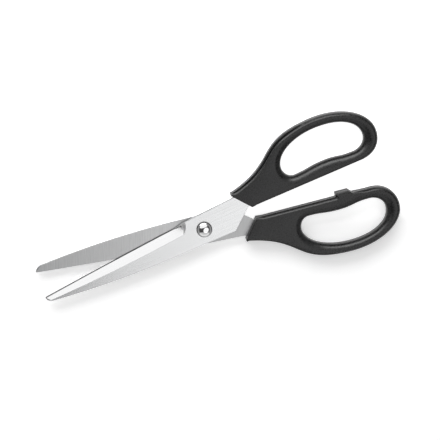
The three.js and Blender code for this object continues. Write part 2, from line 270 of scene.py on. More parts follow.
def quarter(a, b, along_x, fullness, count):
    """A quarter turn that leaves a along x, or along y, and meets b squarely"""
    dx, dy = (b[0] - a[0]) * fullness, (b[1] - a[1]) * fullness
    if along_x:
        return curve(count, a, (a[0] + dx, a[1]), (b[0], b[1] - dy), b)
    return curve(count, a, (a[0], a[1] + dy), (b[0] - dx, b[1]), b)


def ease(a, b, count):
    """A gentle step that is level at both ends"""
    middle = (a[0] + b[0]) / 2
    return curve(count, a, (middle, a[1]), (middle, b[1]), b)


def unit(vector):
    return vector / np.linalg.norm(vector)


def rounded(before, corner, after, radius, count=6):
    """Points round a corner between two straight edges"""
    before, corner, after = (np.asarray(p, float) for p in (before, corner, after))
    u, v = unit(before - corner), unit(after - corner)
    half = math.acos(np.clip(np.dot(u, v), -1, 1)) / 2
    middle = corner + unit(u + v) * radius / math.sin(half)
    first = corner + u * radius / math.tan(half) - middle
    last = corner + v * radius / math.tan(half) - middle
    t = np.linspace(0, 1, count + 1)[:, None]
    opening = math.pi - 2 * half
    return middle + (np.sin((1 - t) * opening) * first + np.sin(t * opening) * last) / math.sin(opening)


def circle_points(first, last, count, endpoint=True):
    turn = np.linspace(first, last, count, endpoint=endpoint)
    return np.stack([np.cos(turn), np.sin(turn)], 1)


def smoothstep(low, high, x):
    t = np.clip((np.asarray(x, float) - low) / (high - low), 0, 1)
    return t * t * (3 - 2 * t)


def inset(points, width):
    """A closed outline moved to its left by width, one value or one for each point"""
    ahead = np.roll(points, -1, 0) - points
    ahead /= np.linalg.norm(ahead, axis=1)[:, None]
    left = np.stack([-ahead[:, 1], ahead[:, 0]], 1)
    both = left + np.roll(left, 1, 0)
    both /= np.maximum(np.linalg.norm(both, axis=1), 1e-6)[:, None]
    stretch = 1 / np.maximum((both * left).sum(1), 0.5)
    return points + both * (stretch * width)[:, None]


def inside(points, loop):
    """Which points lie inside a closed outline"""
    x, y = points[:, 0][:, None], points[:, 1][:, None]
    x0, y0 = loop[:, 0], loop[:, 1]
    x1, y1 = np.roll(x0, -1), np.roll(y0, -1)
    crosses = (y0 > y) != (y1 > y)
    with np.errstate(divide="ignore", invalid="ignore"):
        at = x0 + (y - y0) * (x1 - x0) / (y1 - y0)
    return (crosses & (x < at)).sum(1) % 2 == 1


def fill(loops, extra=(), chains=()):
    """Triangles of a flat area: its outline, its holes, points inside and lines to keep.
    Gives the points, the triangles and, for each loop, its points' places."""
    points, edges, starts = [], [], []
    for loop in loops:
        start, count = len(points), len(loop)
        starts.append(start)
        edges += [(start + i, start + (i + 1) % count) for i in range(count)]
        points += list(loop)
    for chain in chains:
        start = len(points)
        edges += [(start + i, start + i + 1) for i in range(len(chain) - 1)]
        points += list(chain)
    points += list(extra)
    vectors = [Vector((float(x), float(y))) for x, y in points]
    made, _, triangles, sources, _, _ = delaunay_2d_cdt(vectors, edges, [], 0, 1e-5)
    place = {source: i for i, group in enumerate(sources) for source in group}
    flat = np.array([(v.x, v.y) for v in made])
    triangles = np.array([t for t in triangles if len(t) == 3])
    corners = flat[triangles]
    centres = corners.mean(1)
    keep = inside(centres, np.asarray(loops[0]))
    for hole in loops[1:]:
        keep &= ~inside(centres, np.asarray(hole))
    ab, ac = corners[:, 1] - corners[:, 0], corners[:, 2] - corners[:, 0]
    turn = ab[:, 0] * ac[:, 1] - ab[:, 1] * ac[:, 0]
    triangles[turn < 0] = triangles[turn < 0][:, ::-1]
    rings = [[place[s + i] for i in range(len(loop))] for s, loop in zip(starts, loops)]
    return flat, triangles[keep], rings


# Meshes


@contextmanager
def edited(mesh):
    shape = bmesh.new()
    shape.from_mesh(mesh)
    yield shape
    shape.to_mesh(mesh)
    shape.free()


def new_object(name, data):
    made = bpy.data.objects.new(name, data)
    bpy.context.scene.collection.objects.link(made)
    return made


def finish_mesh(mesh, sharp):
    """Smooth faces with sharp edges, also where one finish meets another"""
    mesh.polygons.foreach_set("use_smooth", [True] * len(mesh.polygons))
    mesh.set_sharp_from_angle(angle=math.radians(sharp))
    with edited(mesh) as shape:
        for edge in shape.edges:
            if len({face.material_index for face in edge.link_faces}) > 1:
                edge.smooth = False
    mesh.update()


class Shell:
    """Collects a closed mesh from rings and filled faces"""

    def __init__(self):
        self.points, self.faces, self.finishes = [], [], []

    def ring(self, flat, z):
        """Adds points at a height, one value or one for each, and gives their places"""
        start = len(self.points)
        heights = np.broadcast_to(z, len(flat))
        self.points += [(float(x), float(y), float(h)) for (x, y), h in zip(flat, heights)]
        return list(range(start, len(self.points)))

    def wall(self, lower, upper, finish=0, hole=False):
        """Joins two rings, facing out of an outline or into a hole"""
        if hole:
            lower, upper = upper, lower
        for i in range(len(lower)):
            j = (i + 1) % len(lower)
            self.faces.append((lower[i], lower[j], upper[j], upper[i]))
        self.finishes += [finish] * len(lower)

    def cover(self, filled, z, up, finish=0):
        """Adds a filled area that faces up or down, and gives the places of its rings"""
        flat, triangles, rings = filled
        places = self.ring(flat, z)
        for triangle in triangles:
            a, b, c = (places[i] for i in triangle)
            self.faces.append((a, b, c) if up else (c, b, a))
        self.finishes += np.broadcast_to(finish, len(triangles)).tolist()
        return [[places[i] for i in ring] for ring in rings]

    def piece(self, name, materials, place, sharp):
        mesh = bpy.data.meshes.new(name)
        mesh.from_pydata(self.points, [], self.faces)
        mesh.polygons.foreach_set("material_index", self.finishes)
        mesh.transform(place)
        with edited(mesh) as shape:
            bmesh.ops.remove_doubles(shape, verts=shape.verts, dist=1e-7)
            bmesh.ops.dissolve_degenerate(shape, edges=shape.edges, dist=1e-8)
        for material in materials:
            mesh.materials.append(material)
        finish_mesh(mesh, sharp)
        return new_object(name, mesh)


def make_plain(piece):
    """Replaces the piece's mesh by what its modifiers make, and removes them"""
    graph = bpy.context.evaluated_depsgraph_get()
    mesh = bpy.data.meshes.new_from_object(piece.evaluated_get(graph))
    old = piece.data
    piece.modifiers.clear()
    piece.data = mesh
    mesh.name = piece.name
    bpy.data.meshes.remove(old)


def cut(piece, tool, sharp):
    cutter = piece.modifiers.new("pocket", "BOOLEAN")
    cutter.operation = "DIFFERENCE"
    cutter.solver = "EXACT"
    cutter.object = tool
    make_plain(piece)
    finish_mesh(piece.data, sharp)
    bpy.data.objects.remove(tool)


# Node trees


def plug(tree, node, inputs):
    """Sets a node's inputs to plain values, or links them to other nodes' sockets"""
    for key, value in inputs.items():
        if isinstance(value, bpy.types.NodeSocket):
            tree.links.new(value, node.inputs[key])
        else:
            node.inputs[key].default_value = value


def add(tree, kind, inputs, **options):
    """A new node with its options and inputs. Gives its outputs."""
    node = tree.nodes.new(kind)
    for name, value in options.items():
        setattr(node, name, value)
    plug(tree, node, inputs)
    return node.outputs


def new_group(name, kind, inputs, outputs):
    """A group's tree, the sockets it is given and its output node. Each input has a kind and a default."""
    tree = bpy.data.node_groups.new(name, kind)
    for label, (socket, default) in inputs.items():
        made = tree.interface.new_socket(label, in_out="INPUT", socket_type=f"NodeSocket{socket}")
        if default is not None:
            made.default_value = default
    for label, socket in outputs.items():
        tree.interface.new_socket(label, in_out="OUTPUT", socket_type=f"NodeSocket{socket}")
    return tree, add(tree, "NodeGroupInput", {}), tree.nodes.new("NodeGroupOutput")


def shared(build):
    """A node group that is built once, under its builder's name"""
    return bpy.data.node_groups.get(build.__name__) or build(build.__name__)


def calculate(tree, operation, first, second):
    return add(tree, "ShaderNodeMath", {0: first, 1: second}, operation=operation)[0]


def combine(tree, operation, first, second):
    """Vector arithmetic"""
    return add(tree, "ShaderNodeVectorMath", {0: first, 1: second}, operation=operation)


def scaled(tree, colour, factor):
    return add(tree, "ShaderNodeVectorMath", {0: colour, "Scale": factor}, operation="SCALE")[0]


def remap(tree, value, low, high, first, last, **options):
    """A value taken from one range to another"""
    ends = {"From Min": low, "From Max": high, "To Min": first, "To Max": last}
    return add(tree, "ShaderNodeMapRange", {"Value": value, **ends}, **options)["Result"]


def noise(tree, vector, scale, detail, roughness):
    inputs = {"Vector": vector, "Scale": scale, "Detail": detail, "Roughness": roughness}
    return add(tree, "ShaderNodeTexNoise", inputs)["Fac"]


# Shader groups and materials

MOTTLE_SCALE = 55.0
UNEVEN = (0.96, 1.02)
LINE_HEIGHT = 0.00002
GRAIN_HEIGHT = 0.0001
GRAIN_SHARE = 0.75
# How far a noise is taken to swing about one half
SWING = 0.25
GRAIN_SWING = 0.10
# Painted shade about the pivot, in metres: how far behind it the middle lies, and the soft border's two
# sides
# Painted shade on the blades' inner faces round the pivot and along the shank
PIVOT_PAINTED_SHADE = (0.009, 0.016, 0.029)
# Painted shade round the rim of the chrome head and cap
RIM_PAINTED_SHADE = (0.0, 0.00355, 0.0043)


def grinding_lines(name):
    """Fine parallel lines of a grinding belt along the group's X, with broader streaks"""
    inputs = {"Vector": ("Vector", None), "Lines": ("Float", 9000.0), "Draw": ("Float", 0.012)}
    inputs["Streaks"] = ("Float", 900.0)
    tree, given, result = new_group(name, "ShaderNodeTree", inputs, {"Line": "Float", "Streak": "Float"})
    stretch = add(tree, "ShaderNodeCombineXYZ", {"X": given["Draw"], "Y": 1.0, "Z": 1.0})[0]
    drawn = combine(tree, "MULTIPLY", given["Vector"], stretch)[0]
    for label, scale, detail in (("Line", "Lines", 3.0), ("Streak", "Streaks", 2.0)):
        plug(tree, result, {label: noise(tree, drawn, given[scale], detail, 0.6)})
    return tree


def moulded_grain(name):
    """Spark-eroded mould grain, with broad and faint flow marks"""
    inputs = {"Vector": ("Vector", None), "Grain": ("Float", 4200.0)}
    tree, given, result = new_group(name, "ShaderNodeTree", inputs, {"Height": "Float", "Mottle": "Float"})
    height = noise(tree, given["Vector"], given["Grain"], 2.0, 0.65)
    plug(tree, result, {"Height": height, "Mottle": noise(tree, given["Vector"], MOTTLE_SCALE, 3.0, 0.5)})
    return tree


def texture(tree, build, **inputs):
    """A shared shader group, placed in a material with its own values"""
    return add(tree, "ShaderNodeGroup", inputs, node_tree=shared(build))


def new_material(name):
    """A material, its tree, its shader and the object's coordinates"""
    material = bpy.data.materials.new(name)
    material.use_nodes = True
    tree = material.node_tree
    tree.nodes.clear()
    shader = tree.nodes.new("ShaderNodeBsdfPrincipled")
    add(tree, "ShaderNodeOutputMaterial", {"Surface": shader.outputs["BSDF"]})
    return material, tree, shader, add(tree, "ShaderNodeTexCoord", {})["Object"]


def varied(tree, value, low, high, swing=SWING):
    """A value between two limits that follows a noise"""
    return remap(tree, value, 0.5 - swing, 0.5 + swing, low, high)


def raised(tree, height, strength, distance):
    bump = {"Strength": strength, "Distance": distance, "Height": height}
    return add(tree, "ShaderNodeBump", bump)["Normal"]


def darkened_by_painted_shade(tree, where, colour, spot, middle_tone, outer_tone):
    """A colour darkened by painted shade about the pivot"""
    behind, nearer, further = spot
    level = combine(tree, "MULTIPLY", where, (1.0, 1.0, 0.0))[0]
    apart = combine(tree, "DISTANCE", level, (PIVOT.x + behind, PIVOT.y, 0.0))["Value"]
    soft = {"interpolation_type": "SMOOTHSTEP"}
    return scaled(tree, colour, remap(tree, apart, nearer, further, middle_tone, outer_tone, **soft))


def ground_steel(name, base, turn, roughness, contrast, lines, streaks, bump=0.10, pivot_shade=None):
    """Steel ground in one direction, turned by an angle about the blade's face, with painted shade round the
    pivot and shank
    """
    material, tree, shader, where = new_material(name)
    turned = add(tree, "ShaderNodeMapping", {"Vector": where, "Rotation": (0.0, 0.0, turn)})[0]
    marks = texture(tree, grinding_lines, Vector=turned, Lines=lines, Streaks=streaks)
    both = calculate(tree, "ADD", marks["Streak"], marks["Line"])
    mean = calculate(tree, "MULTIPLY", both, 0.5)
    colour = scaled(tree, base, varied(tree, mean, 1 - contrast, 1 + contrast))
    # Painted shade round the pivot and along the shank darkens the colour
    if pivot_shade:
        colour = darkened_by_painted_shade(tree, where, colour, PIVOT_PAINTED_SHADE, pivot_shade, 1.0)
    plug(tree, shader, {"Metallic": 1.0, "Base Color": colour})
    plug(tree, shader, {"Roughness": varied(tree, marks["Streak"], *roughness)})
    plug(tree, shader, {"Normal": raised(tree, marks["Line"], bump, LINE_HEIGHT)})
    return material


def plain_metal(name, base, roughness, rim=None):
    """Turned or pressed metal with a faint unevenness, and painted shade darkening the rim of a head"""
    material, tree, shader, where = new_material(name)
    uneven = texture(tree, moulded_grain, Vector=where)["Mottle"]
    colour = scaled(tree, base, varied(tree, uneven, *UNEVEN))
    # Painted shade darkens the rim of the head
    if rim:
        colour = darkened_by_painted_shade(tree, where, colour, RIM_PAINTED_SHADE, 1.0, rim)
    plug(tree, shader, {"Metallic": 1.0, "Base Color": colour})
    plug(tree, shader, {"Roughness": varied(tree, uneven, *roughness)})
    return material


def moulded_plastic(name, base, contrast, roughness, grain, bump):
    """Moulded plastic with fine grain"""
    material, tree, shader, where = new_material(name)
    marks = texture(tree, moulded_grain, Vector=where, Grain=grain)
    grained = calculate(tree, "MULTIPLY", marks["Height"], GRAIN_SHARE)
    mottled = calculate(tree, "MULTIPLY", marks["Mottle"], 1 - GRAIN_SHARE)
    both = calculate(tree, "ADD", grained, mottled)
    plug(tree, shader, {"Base Color": scaled(tree, base, varied(tree, both, *contrast, GRAIN_SWING))})
    plug(tree, shader, {"Roughness": varied(tree, both, *roughness)})
    plug(tree, shader, {"Normal": raised(tree, marks["Height"], bump, GRAIN_HEIGHT)})
    return material


# Blade, in millimetres

FLAT, BEVEL, INNER, STAMPED, HONED, RUNOUT = range(6)
BLADE_SHARP = 14  # degrees
EDGE_POINTS = 110
SPINE_POINTS = 70
NOSE_POINTS = 18
NOSE_SHARE = 0.65  # of the nose's height, where its curve turns
NOSE_DROP = 0.45  # of the eased nose's width that it falls
TANG_INSET = 2.6
SHANK_SETBACK = 1.6
SHANK_INSET = 1.0
HEEL_RADIUS = 14.0
HEEL_CLEAR = 1.6  # from the heel to the cutting edge's last point before its rounding
TANG_RADIUS = 6.0
SHANK_RADIUS = 1.0
PIVOT_HOLE = 2.6
KEY_HOLE = 2.1
KEY_SPACING = 8.5
EDGE_EASED = 0.02
UNDER_EASED = 0.06

# The bevel: its steepest slope, how much shallower and hollower it is past the heel and over
# what length, its run-out's shortening by the width, and where the run-out's polish starts
STEEPEST = 0.36
HEEL_EASE = 0.4
HEEL_BLEND = 6
RUNOUT_TAPER = 0.13
RUNOUT_LEAST = 0.2
POLISH_FROM = 0.7
# The bevel's mesh: cross sections from a little past the heel to beyond the tip, rows along its
# end as shares of its width, and steps up its run-out as shares of that, closer at the foot
SECTIONS_FROM = 1.5
SECTIONS_PAST_TIP = 0.4
SECTIONS = 125
SECTION_SHARES = (0.2, 0.4, 0.6, 0.8)
END_ROWS = np.linspace(-0.2, 0.985, 26)
END_LINE = np.linspace(-0.25, 1.0, 40)
RISE_STEPS = np.linspace(0.05, 1.0, 18) ** 1.2
HONED_POINTS = 140
HONED_ENDS = (0.1, 0.3)  # left free at the heel and at the tip
EDGE_CLEAR = 0.06  # between the outline and the points inside it


class BladePlan:
    """A blade's outline and the depth ground from its outer face"""

    def __init__(self, blade, handle):
        b, h = self.b, self.h = blade, handle
        self.inner = b.gap / 2
        self.outer = self.inner + b.thickness
        self.tip = np.array((b.edge_setback - b.reach, 0.0))
        self.heel = np.array((-b.heel_reach, b.heel_height))
        self.middle = (self.tip + self.heel) / 2 + (0, 2 * b.edge_bow)
        self.chord = np.linalg.norm(self.tip - self.heel)
        self.along = (self.tip - self.heel) / self.chord
        self.across = np.array((self.along[1], -self.along[0]))
        self.tang_top = np.array((h.front, h.front_height - TANG_INSET))
        self.shank_top = np.array((h.front + h.front_slant - SHANK_SETBACK, h.gap / 2 + SHANK_INSET))
        rise = (self.tang_top[1] + self.shank_top[1]) / 2 + b.tang_rise
        self.tang_end = np.array((h.front + b.tang_length - b.tang_width / 2, rise))

    def outline(self):
        """The outline anticlockwise, and how far its edges are eased"""
        b = self.b
        ricasso = np.array((-b.ricasso_reach, b.ricasso_height))
        corner = np.array((b.shank_corner, -b.spine_depth))
        back = np.array((0.0, -b.spine_depth))
        drawn_out = (-b.reach / 2, -b.spine_depth - b.spine_bow)
        nose = np.array((b.nose_length - b.reach, -b.nose_height))
        nose_turn = (b.nose_turn - b.reach, -b.nose_height * NOSE_SHARE)
        tang_end = self.tang_end + b.tang_width / 2 * circle_points(math.pi / 2, -math.pi / 2, 17)
        edge = curve(EDGE_POINTS, self.tip, self.middle, self.heel)
        edge = edge[np.linalg.norm(edge - self.heel, axis=1) > HEEL_CLEAR]
        runs = [
            edge,
            rounded(self.middle, self.heel, ricasso, HEEL_RADIUS),
            rounded(self.heel, ricasso, self.tang_top, HEEL_RADIUS),
            rounded(ricasso, self.tang_top, tang_end[0], TANG_RADIUS),
            tang_end,
            [self.shank_top],
            rounded(self.shank_top, corner, back, SHANK_RADIUS),
            curve(SPINE_POINTS, back, drawn_out, nose),
            curve(NOSE_POINTS, nose, nose_turn, self.tip),
        ]
        points = np.vstack(runs)
        eased = np.where(np.arange(len(points)) < len(edge), EDGE_EASED, b.eased)
        swell = np.sin(math.pi * (np.arange(NOSE_POINTS) + 0.5) / NOSE_POINTS)
        eased[-NOSE_POINTS:] = np.maximum(b.nose_eased * swell**0.5, b.eased)
        return inset(points[::-1], SKIN), eased[::-1]

    def holes(self, shrink=0.0):
        """The pivot hole and the two holes that the moulding fills, anticlockwise"""
        circle = circle_points(0, 2 * math.pi, 64, endpoint=False)
        second = self.tang_end - (KEY_SPACING, self.b.tang_rise / 2)
        places = [(np.zeros(2), PIVOT_HOLE), (self.tang_end, KEY_HOLE), (second, KEY_HOLE)]
        return [centre + circle * (radius - shrink) for centre, radius in places]

    def bevel_width(self, s):
        """Width of the bevel at a distance from the heel"""
        b = self.b
        t = np.clip(s / self.chord, 0, 1)
        ends = b.bevel_heel + (b.bevel_tip - b.bevel_heel) * t
        swell = b.bevel_middle - (b.bevel_heel + b.bevel_tip) / 2
        return ends + swell * 4 * t * (1 - t)

    def at(self, s, q):
        """The point s along the edge from the heel and q in from the edge"""
        s, q = np.broadcast_arrays(np.asarray(s, float), np.asarray(q, float))
        t = np.clip(s / self.chord, 0, 1)[:, None]
        edge = (1 - t) ** 2 * self.heel + 2 * t * (1 - t) * self.middle + t**2 * self.tip
        beyond = (s - t[:, 0] * self.chord)[:, None] * self.along
        return edge + beyond - q[:, None] * self.across

    def end_of_bevel(self, q):
        """Where the bevel ends, and over what length it rises there"""
        q = np.maximum(q, 0)
        end = q**2 / (2 * self.b.runout_radius) - self.b.overrun
        return end, self.b.runout * np.maximum(1 - RUNOUT_TAPER * q, RUNOUT_LEAST)

    def ground(self, flat):
        """Depth ground away, and the finish of the face there"""
        b = self.b
        s = (flat - self.heel) @ self.along
        level = self.at(np.clip(s / self.chord, 0, 1) * self.chord, 0.0)
        q = (level - flat) @ self.across
        wide = self.bevel_width(s) - b.honed
        part = np.clip(1 - (q - b.honed) / wide, 0, 1)
        end, rise = self.end_of_bevel(q)
        into = np.clip((s - end) / rise, 0, 1)
        deepest = np.minimum(b.thickness - b.edge_land, wide * STEEPEST)
        deepest = deepest * (1 - HEEL_EASE * smoothstep(HEEL_BLEND, -HEEL_BLEND, s))
        hollow = 1 - HEEL_EASE * np.clip(-s / HEEL_BLEND, 0, 1)
        depth = deepest * part**hollow * (1 - (1 - into) ** 3)
        edge = np.clip(1 - q / b.honed, 0, 1) * np.clip(s / b.runout, 0, 1)
        depth += (b.thickness - b.honed_land - depth) * edge
        kind = np.where(into > POLISH_FROM, BEVEL, RUNOUT)
        kind = np.where((part > 0) & (into > 0), kind, FLAT)
        return depth, np.where((q < b.honed) & (s > 0), HONED, kind)

    def detail(self, loop):
        """Points over the bevel, and its ridge, its end and the honed facet as lines to keep"""
        width = self.b.bevel_heel
        sections = np.linspace(SECTIONS_FROM, self.chord + SECTIONS_PAST_TIP, SECTIONS)
        field = [self.at(sections, share * self.bevel_width(sections)) for share in SECTION_SHARES]
        for q in END_ROWS * width:
            end, rise = self.end_of_bevel(q)
            steps = end + rise * RISE_STEPS
            steps = np.concatenate([steps, np.linspace(steps[-1], SECTIONS_FROM, 7)[1:-1]])
            field.append(self.at(steps, q))
        start = np.linspace(self.end_of_bevel(width)[0], SECTIONS_FROM, 14)[1:-1]
        ridge = np.concatenate([start, sections])
        q = END_LINE * width
        honed = np.linspace(HONED_ENDS[0], self.chord - HONED_ENDS[1], HONED_POINTS)
        chains = [
            self.at(ridge, self.bevel_width(ridge)),
            self.at(self.end_of_bevel(q)[0], q),
            self.at(honed, self.b.honed),
        ]
        clear = inset(loop, EDGE_CLEAR)
        field, *chains = (points[inside(points, clear)] for points in (np.vstack(field), *chains))
        return field, chains


def blade_shell(plan):
    outline, eased = plan.outline()
    loops = [outline] + plan.holes()
    widths = [eased] + [plan.b.eased] * len(loops[1:])
    faces = [inset(outline, eased)] + [inset(hole[::-1], plan.b.eased)[::-1] for hole in loops[1:]]
    filled = fill(faces, *plan.detail(faces[0]))
    flat, triangles, _ = filled
    depth, _ = plan.ground(flat)
    _, finishes = plan.ground(flat[triangles].mean(1))
    shell = Shell()
    tops = shell.cover(filled, plan.outer - depth, True, finishes)
    bottoms = shell.cover(fill(faces), plan.inner, False, INNER)
    for loop, width, upper, lower in zip(loops, widths, tops, bottoms):
        depth, _ = plan.ground(loop)
        drop = np.where(width > plan.b.eased, NOSE_DROP, 1) * width
        high = shell.ring(loop, plan.outer - depth - drop)
        low = shell.ring(loop, plan.inner + np.minimum(width, UNDER_EASED) / 2)
        steps = [lower, low, high, upper]
        for a, b in zip(steps, steps[1:]):
            shell.wall(a, b, STAMPED, hole=loop is not outline)
    return shell


# Handle, in millimetres

HANDLE_SHARP = 32  # degrees
CIRCULAR = 0.5523  # fullness of a quarter that is close to a circle's
FULL = 0.6
CORNER_CLEAR = 1.6  # radii from the front corner to the back's last point before its rounding
STOP_LEAN = 0.1
STOP_FACE = 0.3  # how far behind its foot the stop's front ends
STOP_FOOT = 1  # how far in front of the stop its foot's rounding may start
LEDGE_UP_STOP = 0.8  # share of the stop's height that the ledge climbs
ON_BAR = 0.01
STOP_ROUNDINGS = (0.4, 0.5, 0.6, 0.8)
STOP_POINTS = (5, 6, 5, 5)
# Between which two places along the handle, or heights at its end, one edge gives way to another
GRIP_ON_BACK = (62, 80)
GRIP_ON_BAR = (90, 104)
GRIP_BEHIND_STOP = (0.5, 9)
GRIP_AT_END = (6, 14)
LEDGE_BEHIND_FRONT = (0.9, 3.5)
FLANK_ON_BACK = (20, 54)
FLANK_IN_FRONT = 0.25  # share of the flank's ledge at the front corner
REAR_OF_HOLE = (22, 2)  # before the hole's far end
BAR_LEFT = 0.3  # flat left on a bar between its two roundings


class HandlePlan:
    """A handle's outline, its finger hole and how far their edges are rounded"""

    def __init__(self, handle):
        h = self.h = handle
        self.half = h.thickness / 2
        self.inner = h.gap / 2
        self.hole_rear = h.reach - h.rear_bar
        self.hole_front = self.hole_rear - h.loop_length
        self.floor = self.inner + h.inner_bar
        self.crown = self.floor + h.loop_width
        self.crown_x = self.hole_front + h.crown_place

    def stop(self):
        """Points of the closing stop along the inner bar"""
        h = self.h
        top = h.stop_clearance - self.inner
        front, rear = h.stop_place, h.stop_place + h.stop_length
        foot, ramp = (front, self.inner), (rear + h.stop_ramp, self.inner)
        high, low = (front + STOP_LEAN, top), (rear, top)
        path = [(0, self.inner), foot, high, low, ramp, (h.reach, self.inner)]
        corners = zip(path, path[1:], path[2:], STOP_ROUNDINGS, STOP_POINTS)
        return np.vstack([rounded(*corner) for corner in corners])

    def outline(self, with_stop):
        """The outline anticlockwise, and each point's shares of the four edge profiles"""
        h = self.h
        low = np.array((h.front + h.front_slant, self.inner))
        top = np.array((h.front, h.front_height))
        corner = np.array((h.reach - h.rear_corner, self.inner))
        rear = np.array((h.reach, self.floor + h.loop_end))
        crown = np.array((self.crown_x, self.crown + h.crown_bar))
        slope = np.array((h.sweep_front, h.sweep_rise))
        bar = rounded(top, low, corner, h.corner)
        if with_stop:
            stop = self.stop()
            bar = np.vstack([bar, line(bar[-1], stop[0], 24)[1:], stop, line(stop[-1], corner, 8)[1:]])
        else:
            bar = np.vstack([bar, line(bar[-1], corner, 34)[1:]])
        end = np.vstack([quarter(corner, rear, True, FULL, 30), quarter(rear, crown, False, CIRCULAR, 46)])
        back = curve(70, crown, crown - (h.sweep_crown, 0), top + slope, top)
        tip = rounded(back[-1], top, low, h.corner)
        back = back[np.linalg.norm(back - top, axis=1) > h.corner * CORNER_CLEAR]
        runs = [bar, end, back, tip, line(tip[-1], bar[0], 10)[1:]]
        outline = np.vstack(runs)
        run = np.repeat(np.arange(len(runs)), [len(points) for points in runs])
        shares = self.edge_shares(outline, run == 1, run == 2, with_stop, low, top)
        return inset(outline, SKIN), shares

    def edge_shares(self, outline, on_end, on_back, with_stop, low, top):
        """Shares of the bar's ledge, the flank's ledge, the grip's rounding and the plain edge"""
        h = self.h
        x, y = outline.T
        stop_end = h.stop_place + h.stop_length + h.stop_ramp
        on_bar = [stop_end + place for place in GRIP_BEHIND_STOP] if with_stop else GRIP_ON_BAR
        grip = np.where(on_back, smoothstep(*GRIP_ON_BACK, x), smoothstep(*on_bar, x))
        grip = np.where(on_end, np.maximum(grip, smoothstep(*GRIP_AT_END, y)), grip)
        climb = LEDGE_UP_STOP * (2 * self.inner - h.stop_clearance)
        up_the_stop = smoothstep(0, climb, self.inner - y)
        near = np.where(x > h.stop_place + STOP_FACE, 1, up_the_stop) * (x > h.stop_place - STOP_FOOT)
        plain = near * (y < self.inner + ON_BAR) * with_stop
        set_back = (outline - low) @ np.array((top[1] - low[1], low[0] - top[0])) / np.linalg.norm(top - low)
        plain = np.maximum(plain, 1 - smoothstep(*LEDGE_BEHIND_FRONT, set_back)) * (1 - grip)
        flank = FLANK_IN_FRONT + (1 - FLANK_IN_FRONT) * smoothstep(*FLANK_ON_BACK, x)
        flank = np.where(on_back, flank, 0) * (1 - grip) * (1 - plain)
        return np.stack([1 - grip - flank - plain, flank, grip, plain], 1)

    def hole(self):
        """The finger hole, anticlockwise"""
        h = self.h
        front = (self.hole_front, self.floor + h.loop_end)
        floor_front = (self.hole_front + h.front_round, self.floor + h.front_lift)
        palm = (self.hole_front + h.swell_place, self.floor + h.swell)
        floor_rear = (self.hole_rear - h.rear_round, self.floor)
        rear = (self.hole_rear, self.floor + h.loop_end)
        crown = (self.crown_x, self.crown)
        return np.vstack(
            [
                quarter(front, floor_front, False, CIRCULAR, 22),
                ease(floor_front, palm, 24),
                ease(palm, floor_rear, 26),
                quarter(floor_rear, rear, True, CIRCULAR, 26),
                quarter(rear, crown, False, FULL, 44),
                quarter(crown, front, True, CIRCULAR, 44),
            ]
        )


ROUND_STEPS = 6
SEAM_RISE = 0.12
LEDGE_SLOPE = 0.38
# An edge's inset and depth as shares: a broad slanted band between two tight roundings
EDGE_CURVE = np.array(((0, 1), (0.07, 0.78), (0.16, 0.66), (0.80, 0.07), (0.90, 0.012), (1, 0)))


def quarter_profile(count):
    """A rounding's inset and depth as shares"""
    turn = np.linspace(0, math.pi / 2, count)[:, None]
    return np.hstack([1 - np.cos(turn), 1 - np.sin(turn)])


def stepped_edge(half, seam, ledge, rise, turn, lean, across, down):
    """An edge profile as rows of inset and depth below the face: a ledge over the parting
    line, an upright step and the rounding of the face's edge"""
    turn = min(turn, ledge / 2)
    lower = quarter_profile(ROUND_STEPS) * turn + (0, half - rise)
    upper = EDGE_CURVE * (across, down) + (ledge + lean, 0)
    groove = (ledge, half - rise + LEDGE_SLOPE * (ledge - turn))
    return np.vstack([(seam, half), (0, half - SEAM_RISE), lower, groove, upper])


def round_edge(half, seam, width, depth):
    """An edge profile: an upright side and a large rounding"""
    rounding = quarter_profile(2 * ROUND_STEPS + 1) * (width, depth)
    return np.vstack([(seam, half), (0, half - SEAM_RISE), rounding])


def handle_shell(plan, with_stop):
    h, half = plan.h, plan.half
    outline, shares = plan.outline(with_stop)
    hole = plan.hole()[::-1]
    rounding = (h.ledge_rise, h.ledge_round, h.draft, h.edge_round, h.edge_drop)
    profiles = np.stack(
        [
            stepped_edge(half, h.seam, h.ledge, *rounding),
            stepped_edge(half, h.seam, h.flank_ledge, *rounding),
            round_edge(half, h.seam, h.grip_round, h.grip_drop),
            stepped_edge(half, h.seam, 0, h.ledge_rise, 0, h.draft, h.stop_round, h.stop_round),
        ]
    )
    bar = np.linalg.norm(hole[:, None] - outline[None], axis=2) - shares @ profiles[:, -1, 0]
    rear = smoothstep(*(plan.hole_rear - before for before in REAR_OF_HOLE), hole[:, 0])
    wide = np.minimum(h.hole_round + h.hole_rear_round * rear, bar.min(1) - BAR_LEFT)
    sides = [
        (outline, np.einsum("ip,pkc->kic", shares, profiles)),
        (hole, np.stack([round_edge(half, h.seam, width, h.hole_drop) for width in wide], 1)),
    ]
    face, hole_face = (inset(loop, rows[-1, :, 0]) for loop, rows in sides)
    flat, triangles, (ring, hole_ring) = fill([face, hole_face[::-1]])
    filled = flat, triangles, (ring, hole_ring[::-1])
    shell = Shell()
    tops = shell.cover(filled, half, True)
    bottoms = shell.cover(filled, -half, False)
    for (loop, rows), top, bottom in zip(sides, tops, bottoms):
        upper = [shell.ring(inset(loop, row[:, 0]), half - row[:, 1]) for row in rows[-2::-1]]
        lower = [shell.ring(inset(loop, row[:, 0]), row[:, 1] - half) for row in rows[1:-1]]
        stack = [top, *upper, *lower, bottom]
        for above, below in zip(stack, stack[1:]):
            shell.wall(below, above)
    return shell


def tang_tool(plan, fit):
    """The blade as a plate a little larger all round, to cut its pocket"""
    outline, _ = plan.outline()
    filled = fill([inset(outline, -fit)] + plan.holes(fit))
    shell = Shell()
    tops = shell.cover(filled, plan.outer + fit, True)
    bottoms = shell.cover(filled, plan.inner - fit, False)
    for number, (lower, upper) in enumerate(zip(bottoms, tops)):
        shell.wall(lower, upper, hole=number > 0)
    return shell


# Turned pieces

TURNED_SHARP = 35  # degrees
CORE = 1.0  # radius of the circle that carries a profile, in millimetres
RIM_CHAMFER = 0.15


